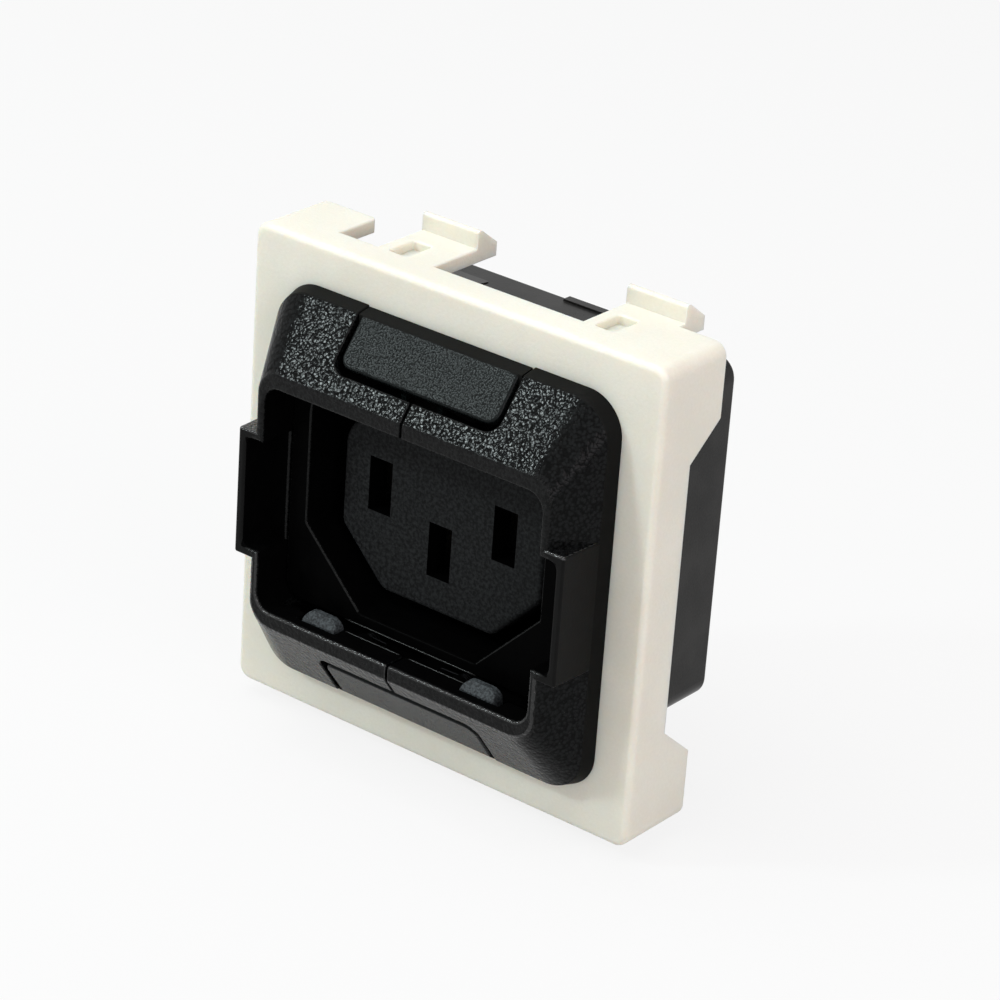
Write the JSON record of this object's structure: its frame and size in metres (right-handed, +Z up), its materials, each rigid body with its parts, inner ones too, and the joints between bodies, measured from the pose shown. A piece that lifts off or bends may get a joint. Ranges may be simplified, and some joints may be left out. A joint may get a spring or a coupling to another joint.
{
  "type": "snap-in appliance outlet module",
  "caption": "Square snap-in outlet module: ivory frame with rear clips, black locking collar with release pads, and a keyed three-slot appliance outlet.",
  "frame": {"origin": "middle of the frame plate's front face", "axes": "+X to the right and +Z up as seen from the front; the front faces -Y and the clips point along +Y"},
  "size_m": [0.045, 0.0326, 0.0482],
  "materials": {
    "ivory_plastic": "satin",
    "grained_black": "coarse moulded grain",
    "pad_black": "fine moulded grain",
    "latch_grey": "rough",
    "housing_black": "satin",
    "core_black": "fine grain",
    "brass": "rolled",
    "steel": "zinc plated",
    "spring_steel": "drawn wire"
  },
  "bodies": {
    "module": {"adapter_frame": "ivory_plastic", "collar_left": "grained_black", "collar_right": "grained_black", "latch_pins": "steel", "cover_screws": "steel", "socket_housing": "housing_black", "rear_cover": "housing_black", "socket_core": "core_black", "contact_left": "brass", "contact_right": "brass", "contact_earth": "brass", "latch_spring_top_right": "spring_steel", "latch_spring_top_left": "spring_steel", "latch_spring_bottom_right": "spring_steel", "latch_spring_bottom_left": "spring_steel"},
    "pad_top": {"release_pad_top": "pad_black"},
    "pad_bottom": {"release_pad_bottom": "pad_black"},
    "rocker_top_right": {"latch_top_right": "latch_grey"},
    "rocker_top_left": {"latch_top_left": "latch_grey"},
    "rocker_bottom_right": {"latch_bottom_right": "latch_grey"},
    "rocker_bottom_left": {"latch_bottom_left": "latch_grey"}
  },
  "joints": [
    {"name": "press_top", "type": "slide", "parent": "module", "child": "pad_top", "axis": [0, 0, -1], "range_m": [0, 0.0007], "stiffness_N_per_m": 1000},
    {"name": "press_bottom", "type": "slide", "parent": "module", "child": "pad_bottom", "axis": [0, 0, 1], "range_m": [0, 0.0007], "stiffness_N_per_m": 1000},
    {"name": "rock_top_right", "type": "hinge", "parent": "module", "child": "rocker_top_right", "pos_m": [0.0054, -0.003, 0.012], "axis": [0, -1, 0], "range_deg": [0, 12.5], "deforming": ["latch_spring_top_right"]},
    {"name": "rock_top_left", "type": "hinge", "parent": "module", "child": "rocker_top_left", "pos_m": [-0.0054, -0.003, 0.012], "axis": [0, 1, 0], "range_deg": [0, 12.5], "deforming": ["latch_spring_top_left"]},
    {"name": "rock_bottom_right", "type": "hinge", "parent": "module", "child": "rocker_bottom_right", "pos_m": [0.0054, -0.003, -0.012], "axis": [0, 1, 0], "range_deg": [0, 12.5], "deforming": ["latch_spring_bottom_right"]},
    {"name": "rock_bottom_left", "type": "hinge", "parent": "module", "child": "rocker_bottom_left", "pos_m": [-0.0054, -0.003, -0.012], "axis": [0, -1, 0], "range_deg": [0, 12.5], "deforming": ["latch_spring_bottom_left"]}
  ],
  "couplings": [
    {"joint": "rock_top_right", "follows": "press_top", "rad_per_m": 311},
    {"joint": "rock_top_left", "follows": "press_top", "rad_per_m": 311},
    {"joint": "rock_bottom_right", "follows": "press_bottom", "rad_per_m": 311},
    {"joint": "rock_bottom_left", "follows": "press_bottom", "rad_per_m": 311}
  ]
}
